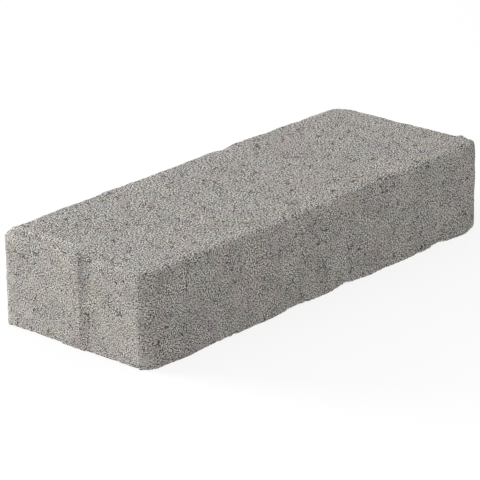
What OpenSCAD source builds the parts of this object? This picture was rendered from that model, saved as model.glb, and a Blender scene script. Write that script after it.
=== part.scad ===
// Concrete paving stone, dry-cast in one piece.
// It lies on its bed face with the wearing face up. The origin is at the middle
// of the bed face, +X runs along the stone, away from the end with the spacer lug,
// +Y across it and +Z up.

/* [Stone] */
// Length between the two end faces, without the spacer lug
stone_length = 316; // [200:1:450]
// Width between the two long sides
stone_width = 120; // [80:1:300]
// Thickness from the bed face up to the wearing face
stone_height = 60; // [40:1:100]

/* [Edges] */
// Radius of the four upright corners, seen in plan
corner_radius = 8; // [6:0.5:20]
// Radius of the worn edge round the wearing face
wear_edge_radius = 5; // [1:0.5:6]
// Leg of the small bevel round the bed face
bed_bevel = 1; // [0.5:0.1:3]

/* [Spacer lug] */
// Width of the lug across its outer face
lug_width = 15.5; // [6:0.5:30]
// How far the lug stands out from the end face
lug_depth = 2; // [1:0.25:6]
// How far each side of the lug splays out on its way back to the end face
lug_splay = 1.75; // [0.25:0.25:4]

/* [Hidden] */
$fn = 64;
concrete_grey = "#9C9892";
// Centre of the upright corner rounds
corner_x = stone_length / 2 - corner_radius;
corner_y = stone_width / 2 - corner_radius;
// The lug is rooted in the stone, behind its bevels and rounds
lug_root = 2 * corner_radius;
lug_base = lug_width + 2 * lug_splay;

// Upright half section, from the plane x = 0 out to a face at x = reach,
// bevelled along the bed and rounded along the wearing face
module half_section(reach) {
    difference() {
        square([reach, stone_height]);
        translate([reach, 0])
            rotate(45)
                square(bed_bevel * sqrt(2), center = true);
        translate([reach - wear_edge_radius, stone_height - wear_edge_radius])
            difference() {
                square(2 * wear_edge_radius);
                circle(wear_edge_radius);
            }
    }
}

// Straight run of the whole section along Y, with its faces at x = reach and x = -reach
module straight_run(reach, run_length) {
    rotate([90, 0, 0])
        linear_extrude(run_length, center = true) {
            half_section(reach);
            mirror([1, 0])
                half_section(reach);
        }
}

// Block with the same edge section along its sides and round its upright corners
module rounded_block() {
    straight_run(stone_length / 2, 2 * corner_y);
    rotate(90)
        straight_run(stone_width / 2, 2 * corner_x);
    for (side_x = [-1, 1], side_y = [-1, 1])
        translate([side_x * corner_x, side_y * corner_y, 0])
            rotate_extrude()
                half_section(corner_radius);
}

// Spacer lug on the end face at -X: splayed sides in plan, and the edge section of the stone,
// so that the worn edge and the bed bevel run on over it
module spacer_lug() {
    intersection() {
        translate([-stone_length / 2, 0, 0])
            linear_extrude(stone_height)
                polygon([
                    [lug_root, -lug_base / 2], [0, -lug_base / 2], [-lug_depth, -lug_width / 2],
                    [-lug_depth, lug_width / 2], [0, lug_base / 2], [lug_root, lug_base / 2]
                ]);
        rotate([90, 0, 0])
            linear_extrude(2 * lug_base, center = true)
                mirror([1, 0])
                    half_section(stone_length / 2 + lug_depth);
    }
}

module paving_stone() {
    color(concrete_grey)
        union() {
            rounded_block();
            spacer_lug();
        }
}

paving_stone();
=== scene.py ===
# Dry-cast concrete paving stone on a pale studio floor
import math

import bmesh
import bpy
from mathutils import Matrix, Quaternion, Vector, noise


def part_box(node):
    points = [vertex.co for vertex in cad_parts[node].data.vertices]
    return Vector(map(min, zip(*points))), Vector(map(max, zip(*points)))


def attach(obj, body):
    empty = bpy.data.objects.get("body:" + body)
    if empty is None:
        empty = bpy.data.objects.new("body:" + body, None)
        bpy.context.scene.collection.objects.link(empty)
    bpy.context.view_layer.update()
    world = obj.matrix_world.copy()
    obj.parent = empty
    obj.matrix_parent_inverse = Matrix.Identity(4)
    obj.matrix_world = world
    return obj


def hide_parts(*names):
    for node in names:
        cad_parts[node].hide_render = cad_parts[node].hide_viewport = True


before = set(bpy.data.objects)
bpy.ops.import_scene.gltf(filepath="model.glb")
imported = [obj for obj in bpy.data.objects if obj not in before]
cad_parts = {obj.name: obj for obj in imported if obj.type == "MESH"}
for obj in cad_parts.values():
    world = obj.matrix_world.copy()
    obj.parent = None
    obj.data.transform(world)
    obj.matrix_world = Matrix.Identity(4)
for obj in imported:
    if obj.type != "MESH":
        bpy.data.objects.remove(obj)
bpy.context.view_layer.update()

MM = 0.001
STONE = "paving_stone"

# Camera: turned and raised from straight in front, aimed a little left of and below the stone's middle
CAMERA_AZIMUTH = math.radians(-48.4)
CAMERA_ELEVATION = math.radians(20.3)
CAMERA_ROLL = math.radians(-0.7)
CAMERA_DISTANCE = 1712 * MM
CAMERA_LENS = 205.2
SENSOR_WIDTH = 36
AIM_RIGHT = -6.5 * MM
AIM_UP = -7.6 * MM

# Soft lights round the stone: name, turn from +X and height in degrees, and watts
LIGHT_DISTANCE = 2.0
LIGHT_SIZE = 0.9
SOFT_LIGHTS = (
    ("key_light", 115, 15, 44),
    ("high_fill", 228, 38, 6),
    ("side_fill", 310, 25, 1.5),
)
AIR_STRENGTH = 0.67
# Floor paper: half its width in metres, and how much of it shows light and shadow to the camera, where the
# rest is plain white
FLOOR_HALF = 6
SHADOW_SHARE = 0.2

# Stone mesh: the depth and fill of the even remesh, and the angle past which an edge is shaded crisp
MERGE_DISTANCE = 0.001 * MM
MESH_DEPTH = 8
MESH_FILL = 0.99
CRISP_ANGLE = math.radians(32)

# Relief of the stone in millimetres. Noise layers are (height, size) pairs.
FACE_RELIEF = ((0.12, 40), (0.10, 7), (0.12, 2.8))
EDGE_REACH = 7
EDGE_RELIEF = ((0.55, 17), (0.35, 6), (0.45, 2.5))
FOOT_REACH = 9
FOOT_RELIEF = ((0.45, 24), (0.5, 8), (0.5, 3))

# Radii of the clean form's wearing edge and upright corners
WEAR_RADIUS = 5
CORNER_RADIUS = 8
# The wearing edges along the front and above the lug are less round than the rest: how far each is on its
# way to a sharp edge, how far from its face that holds, and the width over which it fades. The edge above
# the lug fades towards the back corner too.
FRONT_EDGE = (0.65, 6, 6)
LUG_END_EDGE = (0.75, 8, 10)
BACK_CORNER_FADE = 16
# The edge above the lug is smooth: the share of its relief that is gone, and how far that reaches
LUG_END_SMOOTH = 0.65
SMOOTH_REACH = 10
# A strip of the wearing face along the lug's end is worn down, most at the back corner: how deep there,
# how wide, and the width of the slope behind it
WORN_STRIP = (1.2, 5, 6)

# Lug of the clean form: half its width just above its root, its depth, and how far a flank runs out
# per depth
LUG_HALF = 9.4
LUG_DEPTH = 2
LUG_SLOPE = 0.875
# The lug's face is worn back, most at the bed: the share of its depth that is gone above and at the bed, and
# the height over which that grows. Its back flank keeps its slope, and its front flank runs out softly: how
# far the run-out stands out, and its reach.
LUG_WEAR = (0.05, 0.75)
LUG_WEAR_HEIGHT = 7
LUG_RUN_OUT = (1.2, 8)

# The far front corner of the bed is chipped off: how far the chip runs along the front, across the end
# and up
CHIP = (16, 12, 3.5)

# Pits: one place in each cell may hold one, and the seed turns a cell into a chance
PIT_CELL = 9
PIT_SHARE = 0.28
PIT_RADIUS = (0.7, 1.7)
PIT_DEPTH = 0.8
PIT_SEED = 7.3

# Single swells and worn places: where each lies along its edge, how far it stands out, and its reach. They
# are on the foot of the front and on the back and far edges of the wearing face.
FRONT_FOOT_LUMPS = (
    (-122, 1.4, 20), (-20, -1.0, 22), (24, -1.4, 18), (78, 0.8, 15), (112, -0.9, 16), (139, 2.0, 15),
)
BACK_EDGE_LUMPS = ((-136, -0.8, 18), (45, 0.8, 70), (38, -1.1, 13))
FAR_EDGE_LUMPS = ((8, -0.7, 13), (60, -1.4, 16), (-46, 2.4, 6), (-58, -1.0, 9))


def linear(hex_colour):
    """Linear RGBA of an sRGB hex colour"""
    channels = [int(hex_colour[i:i + 2], 16) / 255 for i in (1, 3, 5)]
    return (*[c / 12.92 if c <= 0.04045 else ((c + 0.055) / 1.055) ** 2.4 for c in channels], 1.0)


def add_node(tree, kind, settings=(), links=(), stops=()):
    """Add a node, give it its properties and input values, link its inputs and set its ramp's colours"""
    node = tree.nodes.new(kind)
    for key, value in dict(settings).items():
        if isinstance(key, int) or key in node.inputs:
            node.inputs[key].default_value = value
        else:
            setattr(node, key, value)
    for key, source in dict(links).items():
        tree.links.new(source, node.inputs[key])
    for index, (position, colour) in enumerate(stops):
        elements = node.color_ramp.elements
        stop = elements[index] if index < 2 else elements.new(position)
        stop.position = position
        stop.color = linear(colour)
    return node


def new_material(name):
    """A material with an empty node tree"""
    material = bpy.data.materials.new(name)
    material.use_nodes = True
    material.node_tree.nodes.clear()
    return material


# Concrete

# Sand on faces that look along X, Y and Z: its size and its contrast. Then its height in millimetres, and the
# size of its looser patches.
SAND = ((0.8 * MM, 0.95), (0.85 * MM, 1.3), (0.95 * MM, 1.75))
SAND_HEIGHT = 0.6
PATCH_SIZE = 5 * MM
# Coarse grains, how their outline wanders, and the half width of the gaps round them on the sides and on
# the wearing face, as shares of a grain. The wider gaps on the wearing face are painted shade of its pits.
GRAVEL_SIZE = 7 * MM
RAGGED_SIZE = 2.0 * MM
RAGGED_REACH = 3 * MM
GAP_WIDTH = (0.035, 0.06)
# Pores and how much more open they are on the wearing face, where the extra pores are partly painted shade
# of its pits; how dark gaps and pores are painted with the shade inside them; their depth in millimetres;
# and how pale the specks are
PORE_SIZE = 0.85 * MM
PORE_OPENING_AND_SHADE = 0.035
PAINTED_VOID_SHADE = 0.9
VOID_DEPTH = 0.8
SPECK_STRENGTH = 0.6
# Darkest and lightest shade of the mottle on the sides and on the wearing face
MOTTLE_SIZE = 11 * MM
MOTTLE = ((0.74, 1.06), (0.775, 1.025))
DRIFT_SIZE = 45 * MM
DRIFT_SHADE = 0.2
TINT_SIZE = 14 * MM
TINT_STRENGTH = 0.14
# Lighter line on the wearing face beside the edge above the lug: where it lies along X, its half width,
# where it starts and is full along Y, and how much lighter it is there
PALE_LINE_PLACE = -148 * MM
PALE_LINE_WIDTH = 5 * MM
PALE_LINE_RUN = (-45 * MM, 15 * MM)
PALE_LINE_SHADE = 0.17


def sand_grains(tree, place, facing):
    """Light sand grains with dark gaps between them: their colour, and their height in millimetres. The dark
    is partly dark grains and partly painted shade in the gaps. They lie flat on the ends, the long sides and
    the wearing face and run into each other round the edges. Their contrast is highest on the wearing face
    and lowest on the ends."""
    axes = add_node(tree, "ShaderNodeSeparateXYZ", {}, {"Vector": place}).outputs
    squared = add_node(
        tree, "ShaderNodeVectorMath", {"operation": "MULTIPLY"}, {0: facing, 1: facing}
    ).outputs["Vector"]
    fourth = add_node(
        tree, "ShaderNodeVectorMath", {"operation": "MULTIPLY"}, {0: squared, 1: squared}
    ).outputs["Vector"]
    shares = add_node(tree, "ShaderNodeSeparateXYZ", {}, {"Vector": fourth}).outputs
    total = add_node(
        tree, "ShaderNodeVectorMath", {"operation": "DOT_PRODUCT", 1: (1, 1, 1)}, {0: fourth}
    ).outputs["Value"]
    rough = None
    for across, along, (size, contrast), share in zip("YXX", "ZZY", SAND, shares):
        plane = add_node(
            tree, "ShaderNodeCombineXYZ", {}, {"X": axes[across], "Y": axes[along]}
        ).outputs["Vector"]
        grain = add_node(
            tree, "ShaderNodeTexNoise",
            {"noise_dimensions": "2D", "Scale": 1 / size, "Detail": 1.0, "Roughness": 0.5},
            {"Vector": plane},
        ).outputs["Fac"]
        tone = add_node(
            tree, "ShaderNodeMapRange",
            {"clamp": False, "To Min": 0.5 - contrast / 2, "To Max": 0.5 + contrast / 2},
            {"Value": grain},
        ).outputs["Result"]
        part = add_node(tree, "ShaderNodeMath", {"operation": "MULTIPLY"}, {0: tone, 1: share}).outputs[0]
        if rough:
            part = add_node(tree, "ShaderNodeMath", {"operation": "ADD"}, {0: rough, 1: part}).outputs[0]
        rough = part
    even = add_node(tree, "ShaderNodeMath", {"operation": "DIVIDE"}, {0: rough, 1: total}).outputs[0]
    loose = add_node(
        tree, "ShaderNodeTexNoise", {"Scale": 1 / PATCH_SIZE, "Detail": 1.0}, {"Vector": place}
    ).outputs["Fac"]
    spread = add_node(
        tree, "ShaderNodeMapRange",
        {"From Min": 0.35, "From Max": 0.65, "To Min": 0.7, "To Max": 1.3},
        {"Value": loose},
    ).outputs["Result"]
    centred = add_node(tree, "ShaderNodeMath", {"operation": "SUBTRACT", 1: 0.5}, {0: even}).outputs[0]
    patchy = add_node(
        tree, "ShaderNodeMath", {"operation": "MULTIPLY_ADD", 2: 0.5}, {0: centred, 1: spread}
    ).outputs[0]
    # The ramp's dark end is partly dark grains and partly painted shade in the gaps between them
    colour = add_node(
        tree, "ShaderNodeValToRGB", {}, {"Fac": patchy},
        ((0.3, "#2A2725"), (0.41, "#716C68"), (0.49, "#A8A39D"), (0.6, "#C2BEB8"), (0.75, "#E2DED9")),
    ).outputs["Color"]
    height = add_node(
        tree, "ShaderNodeMath", {"operation": "MULTIPLY", 1: SAND_HEIGHT}, {0: patchy}
    ).outputs[0]
    return colour, height


def coarse_gravel(tree, place, up):
    """Coarse grains under the sand: how much of each one shows, its colour, and the gaps that stay open
    along parts of its outline. The gaps are wider on the wearing face, where they are painted shade of its
    pits."""
    narrow, wide = GAP_WIDTH
    width = add_node(
        tree, "ShaderNodeMapRange", {"To Min": narrow, "To Max": wide}, {"Value": up}
    ).outputs["Result"]
    gravel = {"Scale": 1 / GRAVEL_SIZE}
    grain = add_node(tree, "ShaderNodeTexVoronoi", gravel, {"Vector": place}).outputs["Color"]
    to_rim = add_node(
        tree, "ShaderNodeTexVoronoi", {**gravel, "feature": "DISTANCE_TO_EDGE"}, {"Vector": place}
    ).outputs["Distance"]
    pick = add_node(tree, "ShaderNodeSeparateColor", {}, {"Color": grain}).outputs
    bare = add_node(
        tree, "ShaderNodeMapRange", {"From Min": 0.6, "From Max": 0.8, "To Max": 0.4}, {"Value": pick[0]}
    ).outputs["Result"]
    inside = add_node(
        tree, "ShaderNodeMapRange", {"From Min": 0.1, "From Max": 0.2}, {"Value": to_rim}
    ).outputs["Result"]
    shown = add_node(tree, "ShaderNodeMath", {"operation": "MULTIPLY"}, {0: bare, 1: inside}).outputs[0]
    colour = add_node(
        tree, "ShaderNodeValToRGB", {}, {"Fac": pick[1]},
        ((0.0, "#8D8882"), (0.4, "#B7B3AC"), (0.7, "#B8ACA5"), (1.0, "#A8ABA3")),
    ).outputs["Color"]
    line = add_node(
        tree, "ShaderNodeMapRange", {"From Max": 0.01}, {"Value": to_rim, "From Min": width}
    ).outputs["Result"]
    loose = add_node(
        tree, "ShaderNodeTexNoise", {"Scale": 1 / PATCH_SIZE, "Detail": 1.0}, {"Vector": place}
    ).outputs["Fac"]
    opened = add_node(
        tree, "ShaderNodeMapRange", {"From Min": 0.55, "From Max": 0.6}, {"Value": loose}
    ).outputs["Result"]
    gap = add_node(tree, "ShaderNodeMath", {"operation": "MULTIPLY"}, {0: line, 1: opened}).outputs[0]
    return shown, colour, gap


def pores_and_specks(tree, place, up):
    """Share of a point that lies in a small pore, and share that lies on a pale speck"""
    field = add_node(
        tree, "ShaderNodeTexNoise", {"Scale": 1 / PORE_SIZE, "Detail": 1.5, "Roughness": 0.6},
        {"Vector": place},
    ).outputs["Fac"]
    # More pores open on the wearing face; the extra dark there is painted shade of its pits
    opened = add_node(
        tree, "ShaderNodeMath", {"operation": "MULTIPLY_ADD", 1: -PORE_OPENING_AND_SHADE}, {0: up, 2: field}
    ).outputs[0]
    pore = add_node(
        tree, "ShaderNodeMapRange", {"From Min": 0.352, "From Max": 0.292}, {"Value": opened}
    ).outputs["Result"]
    speck = add_node(
        tree, "ShaderNodeMapRange", {"From Min": 0.68, "From Max": 0.74}, {"Value": field}
    ).outputs["Result"]
    return pore, speck


def mottled_shade(tree, place, up):
    """Shade of the mix from place to place: a mottle that is weaker on the wearing face, a wide drift, and
    a lighter line beside the edge above the lug"""
    cloud = add_node(
        tree, "ShaderNodeTexNoise", {"Scale": 1 / MOTTLE_SIZE, "Detail": 3.0, "Roughness": 0.65},
        {"Vector": place},
    ).outputs["Fac"]
    dark, pale = [
        add_node(
            tree, "ShaderNodeMapRange", {"To Min": side, "To Max": top}, {"Value": up}
        ).outputs["Result"]
        for side, top in zip(*MOTTLE)
    ]
    mottle = add_node(
        tree, "ShaderNodeMapRange", {"From Min": 0.25, "From Max": 0.75},
        {"Value": cloud, "To Min": dark, "To Max": pale},
    ).outputs["Result"]
    drift = add_node(
        tree, "ShaderNodeTexNoise", {"Scale": 1 / DRIFT_SIZE, "Detail": 1.0}, {"Vector": place}
    ).outputs["Fac"]
    shade = add_node(
        tree, "ShaderNodeMath", {"operation": "MULTIPLY_ADD", 1: DRIFT_SHADE}, {0: drift, 2: mottle}
    ).outputs[0]
    axes = add_node(tree, "ShaderNodeSeparateXYZ", {}, {"Vector": place}).outputs
    # A lighter line on the wearing face beside the edge above the lug
    beside = add_node(
        tree, "ShaderNodeMath", {"operation": "SUBTRACT", 1: PALE_LINE_PLACE}, {0: axes["X"]}
    ).outputs[0]
    apart = add_node(tree, "ShaderNodeMath", {"operation": "ABSOLUTE"}, {0: beside}).outputs[0]
    pale_line = add_node(
        tree, "ShaderNodeMapRange", {"From Min": PALE_LINE_WIDTH, "From Max": PALE_LINE_WIDTH / 4}, {"Value": apart}
    ).outputs["Result"]
    start, full = PALE_LINE_RUN
    fading = add_node(
        tree, "ShaderNodeMapRange", {"From Min": start, "From Max": full, "To Max": PALE_LINE_SHADE},
        {"Value": axes["Y"]},
    ).outputs["Result"]
    on_top = add_node(tree, "ShaderNodeMath", {"operation": "MULTIPLY"}, {0: fading, 1: up}).outputs[0]
    return add_node(
        tree, "ShaderNodeMath", {"operation": "MULTIPLY_ADD"}, {0: pale_line, 1: on_top, 2: shade}
    ).outputs[0]


def dry_cast_concrete():
    """Dry-cast concrete, pressed almost dry into its mould and stripped at once. To the eye it is matt and
    sandy: each grain has its own grey, the voids between them are painted dark with the shade inside them, a
    few bare pebbles show, and the mix is faintly mottled warm and cool."""
    material = new_material("dry_cast_concrete")
    tree = material.node_tree
    texture = add_node(tree, "ShaderNodeTexCoord").outputs
    place = texture["Object"]
    up = add_node(tree, "ShaderNodeSeparateXYZ", {}, {"Vector": texture["Normal"]}).outputs["Z"]
    wander = add_node(
        tree, "ShaderNodeTexNoise", {"Scale": 1 / RAGGED_SIZE, "Detail": 1.0}, {"Vector": place}
    ).outputs["Color"]
    ragged = add_node(
        tree, "ShaderNodeVectorMath", {"operation": "MULTIPLY_ADD", 1: (RAGGED_REACH,) * 3},
        {0: wander, 2: place},
    ).outputs["Vector"]
    sand, sand_height = sand_grains(tree, place, texture["Normal"])
    gravel, gravel_colour, gap = coarse_gravel(tree, ragged, up)
    pore, speck = pores_and_specks(tree, place, up)

    with_gravel = add_node(
        tree, "ShaderNodeMix", {"data_type": "RGBA"}, {0: gravel, 6: sand, 7: gravel_colour}
    ).outputs[2]
    speck_shade = add_node(
        tree, "ShaderNodeMath", {"operation": "MULTIPLY", 1: SPECK_STRENGTH}, {0: speck}
    ).outputs[0]
    with_specks = add_node(
        tree, "ShaderNodeMix", {"data_type": "RGBA", 7: linear("#DAD6D0")}, {0: speck_shade, 6: with_gravel}
    ).outputs[2]
    # Gaps and pores are painted dark with the shade that falls inside them
    void = add_node(tree, "ShaderNodeMath", {"operation": "MAXIMUM"}, {0: gap, 1: pore}).outputs[0]
    painted_void_shade = add_node(
        tree, "ShaderNodeMath", {"operation": "MULTIPLY", 1: PAINTED_VOID_SHADE}, {0: void}
    ).outputs[0]
    with_painted_void_shade = add_node(
        tree, "ShaderNodeMix", {"data_type": "RGBA", 7: linear("#2B2826")}, {0: painted_void_shade, 6: with_specks}
    ).outputs[2]
    patches = add_node(
        tree, "ShaderNodeTexNoise", {"Scale": 1 / TINT_SIZE, "Detail": 1.0}, {"Vector": place}
    ).outputs["Color"]
    tint = add_node(
        tree, "ShaderNodeVectorMath",
        {"operation": "MULTIPLY_ADD", 1: (TINT_STRENGTH,) * 3, 2: (1 - TINT_STRENGTH / 2,) * 3},
        {0: patches},
    ).outputs["Vector"]
    tinted = add_node(
        tree, "ShaderNodeVectorMath", {"operation": "MULTIPLY"}, {0: with_painted_void_shade, 1: tint}
    ).outputs["Vector"]
    colour = add_node(
        tree, "ShaderNodeVectorMath", {"operation": "SCALE"},
        {0: tinted, "Scale": mottled_shade(tree, place, up)},
    ).outputs["Vector"]

    height = add_node(
        tree, "ShaderNodeMath", {"operation": "MULTIPLY_ADD", 1: -VOID_DEPTH}, {0: void, 2: sand_height}
    ).outputs[0]
    bump = add_node(
        tree, "ShaderNodeBump", {"Strength": 0.4, "Distance": MM}, {"Height": height}
    ).outputs["Normal"]
    surface = add_node(
        tree, "ShaderNodeBsdfPrincipled",
        {"Roughness": 0.95, "IOR": 1.5, "Specular IOR Level": 0.25},
        {"Base Color": colour, "Normal": bump},
    ).outputs["BSDF"]
    add_node(tree, "ShaderNodeOutputMaterial", {}, {"Surface": surface})
    return material


# Stone

def even_blank():
    """The clean cast form: a merged copy of the solid, remeshed to even small faces"""
    shape = bmesh.new()
    shape.from_mesh(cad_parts[STONE].data)
    bmesh.ops.remove_doubles(shape, verts=shape.verts, dist=MERGE_DISTANCE)
    mesh = bpy.data.meshes.new("stone_blank")
    shape.to_mesh(mesh)
    shape.free()
    blank = bpy.data.objects.new("stone_blank", mesh)
    bpy.context.collection.objects.link(blank)
    remesh = blank.modifiers.new("even_faces", "REMESH")
    remesh.mode = "SHARP"
    remesh.octree_depth = MESH_DEPTH
    remesh.scale = MESH_FILL
    remesh.use_remove_disconnected = False
    depsgraph = bpy.context.evaluated_depsgraph_get()
    even = bpy.data.meshes.new_from_object(blank.evaluated_get(depsgraph))
    bpy.data.objects.remove(blank)
    return even


def near(distance, reach):
    """1 at no distance, falling smoothly to 0 at the reach"""
    share = min(max(1 - distance / reach, 0), 1)
    return share * share * (3 - 2 * share)


def layered(place, layers):
    """Sum of noise layers at a place"""
    return sum(height * noise.noise(place / size) for height, size in layers)


def pit_depth(place):
    """Depth of a pit at a place, or 0 beside the pits"""
    distances, points = noise.voronoi(place / PIT_CELL)
    pick = noise.cell(points[0] * PIT_SEED + Vector((0.5, 0.5, 0.5)))
    chance = abs(pick) % 1
    if chance > PIT_SHARE:
        return 0
    small, large = PIT_RADIUS
    radius = small + (large - small) * chance / PIT_SHARE
    return PIT_DEPTH * near(distances[0] * PIT_CELL, radius)


def lump_spots(half):
    """Middle, height and reach of each single swell and worn place"""
    top = 2 * half.z
    front = [(Vector((x, -half.y, 0)), height, reach) for x, height, reach in FRONT_FOOT_LUMPS]
    back = [(Vector((x, half.y, top)), height, reach) for x, height, reach in BACK_EDGE_LUMPS]
    far = [(Vector((half.x, y, top)), height, reach) for y, height, reach in FAR_EDGE_LUMPS]
    return front + back + far


def relief(place, half, lumps):
    """How far the stone's surface stands out of the clean form at a place, in millimetres"""
    to_end = max(half.x - abs(place.x), 0)
    to_long_side = max(half.y - abs(place.y), 0)
    to_flat = max(half.z - abs(place.z - half.z), 0)
    to_edge = sorted((to_end, to_long_side, to_flat))[1]
    from_lug_end = place.x + half.x
    down = 2 * half.z - place.z
    smooth = LUG_END_SMOOTH * near(from_lug_end, SMOOTH_REACH) * near(down, SMOOTH_REACH)
    rise = layered(place, FACE_RELIEF) - pit_depth(place)
    rise += near(to_edge, EDGE_REACH) * layered(place, EDGE_RELIEF) * (1 - smooth)
    rise += near(max(place.z, min(to_end, to_long_side)), FOOT_REACH) * layered(place, FOOT_RELIEF)
    deep, wide, slope = WORN_STRIP
    back = (place.y + half.y) / (2 * half.y)
    rise -= deep * back * near(from_lug_end - wide, slope) * near(down, WEAR_RADIUS)
    return rise + sum(height * near((place - spot).length, reach) for spot, height, reach in lumps)


def edge_shift(place, half):
    """How the less round edges are stretched towards sharp ones at a place, in millimetres"""
    # Out past the middles of the upright corners, then out and up past the middle of the edge's round
    along = abs(place.x) - half.x + CORNER_RADIUS
    across = abs(place.y) - half.y + CORNER_RADIUS
    if place.x < 0 and abs(place.y) < LUG_HALF:
        along -= LUG_DEPTH
    if min(along, across) <= 0:
        along, across = (along, 0) if along > across else (0, across)
    outward = Vector((math.copysign(along, place.x), math.copysign(across, place.y), 0))
    out = outward.length + WEAR_RADIUS - CORNER_RADIUS
    up = place.z + WEAR_RADIUS - 2 * half.z
    if min(along + across, out, up) <= 0:
        return Vector((0, 0, 0))
    sharp, hold, fade = FRONT_EDGE
    front = sharp * near(place.y + half.y - hold, fade)
    sharp, hold, fade = LUG_END_EDGE
    lug_end = sharp * near(place.x + half.x - hold, fade) * (1 - near(half.y - place.y, BACK_CORNER_FADE))
    stretch = max(front, lug_end) * max(min(math.hypot(out, up), WEAR_RADIUS) / max(out, up) - 1, 0)
    return stretch * (outward.normalized() * out + Vector((0, 0, up)))


def lug_shift(place, half):
    """How the worn lug and the run-out of its front flank are moved at a place, in millimetres"""
    above, at_bed = LUG_WEAR
    gone = above + (at_bed - above) * near(place.z, LUG_WEAR_HEIGHT)
    depth = max(-half.x - place.x, 0)
    back = min(max((place.y + LUG_HALF) / (2 * LUG_HALF), 0), 1)
    out, reach = LUG_RUN_OUT
    beside = min(max(1 + (LUG_HALF + place.y) / reach, 0), 1) ** 2 if place.y < 0 else 0
    run_out = out * (1 - gone) * beside * (1 - depth / LUG_DEPTH) * near(place.x + half.x, WEAR_RADIUS)
    return Vector((gone * depth - run_out, gone * depth * LUG_SLOPE * back, 0))


def chip_shift(place, half):
    """How the chipped corner is cut back to a slanting face at a place, in millimetres"""
    along, across, up = CHIP
    slant = Vector((1 / along, -1 / across, -1 / up))
    beyond = 1 + slant.dot(place - Vector((half.x, -half.y, 0)))
    return -slant * max(beyond, 0) / slant.length_squared


def weathered(mesh):
    """Wear the even mesh: shift its edges, lug and chipped corner, move each point in or out along its
    normal, and keep the bed on the floor"""
    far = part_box(STONE)[1]
    half = Vector((far.x, far.y, far.z / 2)) / MM
    lumps = lump_spots(half)
    shape = bmesh.new()
    shape.from_mesh(mesh)
    shape.normal_update()
    moves = []
    for vertex in shape.verts:
        place = vertex.co / MM
        shift = edge_shift(place, half) + lug_shift(place, half) + chip_shift(place, half)
        moves.append(shift + vertex.normal * relief(place, half, lumps))
    for vertex, move in zip(shape.verts, moves):
        vertex.co += move * MM
        vertex.co.z = max(vertex.co.z, 0)
    shape.to_mesh(mesh)
    shape.free()


def make_stone():
    """The stone with the relief of its cast faces and worn edges"""
    mesh = even_blank()
    weathered(mesh)
    mesh.name = STONE + "_cast"
    stone = bpy.data.objects.new(STONE + "_cast", mesh)
    bpy.context.collection.objects.link(stone)
    mesh.shade_smooth()
    mesh.set_sharp_from_angle(angle=CRISP_ANGLE)
    mesh.materials.clear()
    mesh.materials.append(dry_cast_concrete())
    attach(stone, "root")
    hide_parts(STONE)


# Studio

def studio_white():
    """Floor paper: white to the camera with a faint shadow, pale grey to the light that it bounces"""
    material = new_material("studio_white")
    tree = material.node_tree
    rays = add_node(tree, "ShaderNodeLightPath").outputs
    mirrored = add_node(
        tree, "ShaderNodeMath", {"operation": "ADD"},
        {0: rays["Is Glossy Ray"], 1: rays["Is Transmission Ray"]},
    ).outputs[0]
    seen = add_node(
        tree, "ShaderNodeMath", {"operation": "ADD", "use_clamp": True},
        {0: rays["Is Camera Ray"], 1: mirrored},
    ).outputs[0]
    bounce = add_node(tree, "ShaderNodeBsdfDiffuse", {"Color": linear("#BEBEBE")}).outputs["BSDF"]
    paper = add_node(tree, "ShaderNodeBsdfDiffuse", {"Color": linear("#FFFFFF")}).outputs["BSDF"]
    glow = add_node(
        tree, "ShaderNodeEmission", {"Color": linear("#FFFFFF"), "Strength": 1.0}
    ).outputs["Emission"]
    backdrop = add_node(
        tree, "ShaderNodeMixShader", {"Fac": SHADOW_SHARE}, {1: glow, 2: paper}
    ).outputs["Shader"]
    floor = add_node(
        tree, "ShaderNodeMixShader", {}, {"Fac": seen, 1: bounce, 2: backdrop}
    ).outputs["Shader"]
    add_node(tree, "ShaderNodeOutputMaterial", {}, {"Surface": floor})
    return material


def make_floor():
    """A wide level floor that the stone lies on"""
    shape = bmesh.new()
    bmesh.ops.create_grid(shape, x_segments=1, y_segments=1, size=FLOOR_HALF)
    mesh = bpy.data.meshes.new("studio_floor")
    shape.to_mesh(mesh)
    shape.free()
    mesh.materials.append(studio_white())
    floor = bpy.data.objects.new("studio_floor", mesh)
    bpy.context.collection.objects.link(floor)


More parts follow.
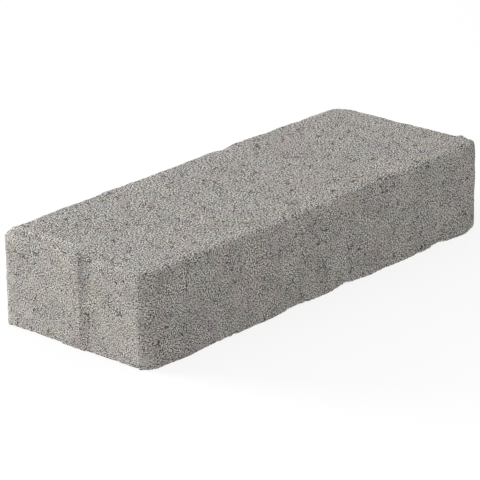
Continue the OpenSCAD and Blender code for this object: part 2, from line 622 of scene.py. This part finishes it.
def make_soft_light(name, turn, height, watts, aim):
    """A square soft light that faces the stone"""
    flat = math.cos(math.radians(height))
    out = Vector((
        math.cos(math.radians(turn)) * flat,
        math.sin(math.radians(turn)) * flat,
        math.sin(math.radians(height)),
    ))
    light = bpy.data.lights.new(name, "AREA")
    light.size = LIGHT_SIZE
    light.energy = watts
    lamp = bpy.data.objects.new(name, light)
    lamp.location = aim + out * LIGHT_DISTANCE
    lamp.rotation_mode = "QUATERNION"
    lamp.rotation_quaternion = (-out).to_track_quat("-Z", "Y")
    bpy.context.collection.objects.link(lamp)


def make_world():
    """Even studio air: white to the camera, and a weaker fill to everything else"""
    world = bpy.data.worlds.new("studio_air")
    world.use_nodes = True
    tree = world.node_tree
    tree.nodes.clear()
    rays = add_node(tree, "ShaderNodeLightPath").outputs
    fill, white = [
        add_node(
            tree, "ShaderNodeBackground", {"Color": linear("#FFFFFF"), "Strength": strength}
        ).outputs["Background"]
        for strength in (AIR_STRENGTH, 1.0)
    ]
    air = add_node(
        tree, "ShaderNodeMixShader", {}, {"Fac": rays["Is Camera Ray"], 1: fill, 2: white}
    ).outputs["Shader"]
    add_node(tree, "ShaderNodeOutputWorld", {}, {"Surface": air})
    bpy.context.scene.world = world


def make_camera(middle):
    """A long lens that looks down on the near end and one long side"""
    flat = math.cos(CAMERA_ELEVATION)
    back = Vector((
        math.sin(CAMERA_AZIMUTH) * flat,
        -math.cos(CAMERA_AZIMUTH) * flat,
        math.sin(CAMERA_ELEVATION),
    ))
    right = (-back).cross(Vector((0, 0, 1))).normalized()
    up = back.cross(right)
    place = middle + back * CAMERA_DISTANCE
    aim = middle + right * AIM_RIGHT + up * AIM_UP
    data = bpy.data.cameras.new("camera")
    data.lens = CAMERA_LENS
    data.sensor_width = SENSOR_WIDTH
    camera = bpy.data.objects.new("camera", data)
    camera.location = place
    camera.rotation_mode = "QUATERNION"
    level = (aim - place).to_track_quat("-Z", "Y")
    camera.rotation_quaternion = level @ Quaternion((0, 0, 1), CAMERA_ROLL)
    bpy.context.collection.objects.link(camera)
    bpy.context.scene.camera = camera


middle = Vector((0, 0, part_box(STONE)[1].z / 2))
make_stone()
make_floor()
for name, turn, height, watts in SOFT_LIGHTS:
    make_soft_light(name, turn, height, watts, middle)
make_world()
make_camera(middle)
bpy.context.scene.view_settings.view_transform = "Standard"
